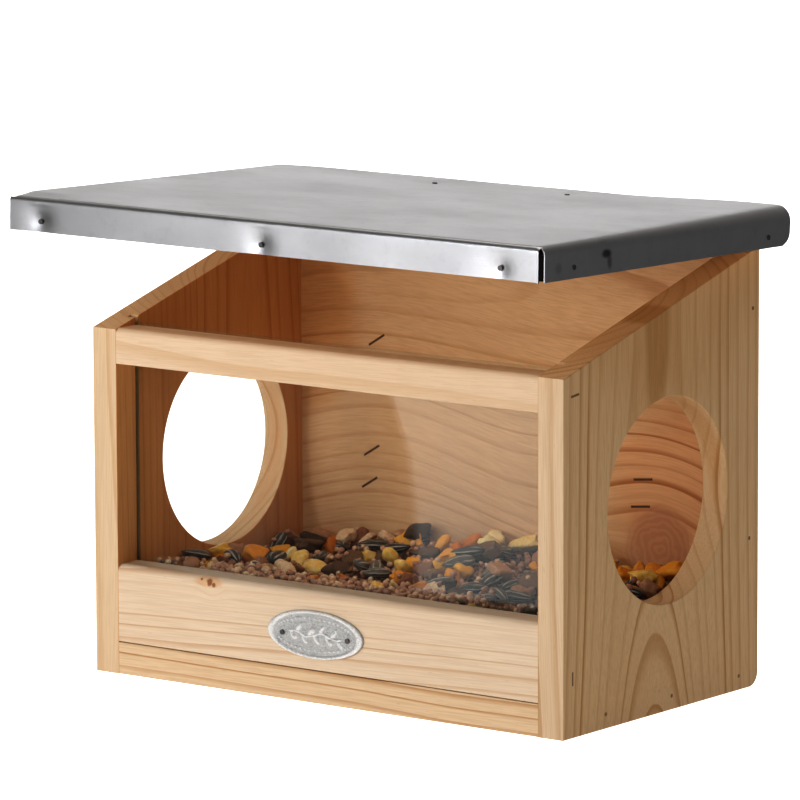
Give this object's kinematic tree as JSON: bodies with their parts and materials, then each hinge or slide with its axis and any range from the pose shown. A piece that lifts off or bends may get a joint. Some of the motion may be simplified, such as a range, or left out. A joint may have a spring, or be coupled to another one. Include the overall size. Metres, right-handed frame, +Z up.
{
  "type": "wooden bird feeder box",
  "caption": "Pine box bird feeder for a wall or table, with round side openings, a clear front pane, a seed filling and a raised metal covered lid hinged at the back.",
  "frame": {"origin": "centre of the base, on the underside of the floor board and side panels", "axes": "+X to the right seen from the front, along the box's width; +Y to the back, towards the wall it hangs on; +Z up"},
  "size_m": [0.2802, 0.1931, 0.2103],
  "materials": {
    "pine": "matte",
    "zinc_sheet": "satin",
    "steel": "satin",
    "acrylic": "gloss",
    "badge_metal": "satin",
    "seed": "matte"
  },
  "bodies": {
    "box": {"side_right": "pine", "side_left": "pine", "floor_board": "pine", "back_panel": "pine", "top_rail": "pine", "front_board": "pine", "batten_left": "pine", "batten_right": "pine", "window_pane": "acrylic", "seed_mix": "seed", "badge_plate": "badge_metal", "badge_nails": "steel", "hinge_box_leaves": "steel", "hinge_pins": "steel", "hinge_box_screws": "steel", "side_brads": "steel", "side_staples": "steel", "batten_staples": "steel", "hanger_plates": "steel", "hanger_screws": "steel"},
    "lid": {"lid_board": "pine", "lid_sheet": "zinc_sheet", "lid_front_nails": "steel", "lid_side_nails": "steel", "lid_top_nails": "steel", "hinge_lid_leaves": "steel", "hinge_lid_screws": "steel"}
  },
  "joints": [
    {"name": "lid_hinge", "type": "hinge", "parent": "box", "child": "lid", "pos_m": [0, 0.0735, 0.19025], "axis": [-1, 0, 0], "range_deg": [-17.2, 95]}
  ]
}
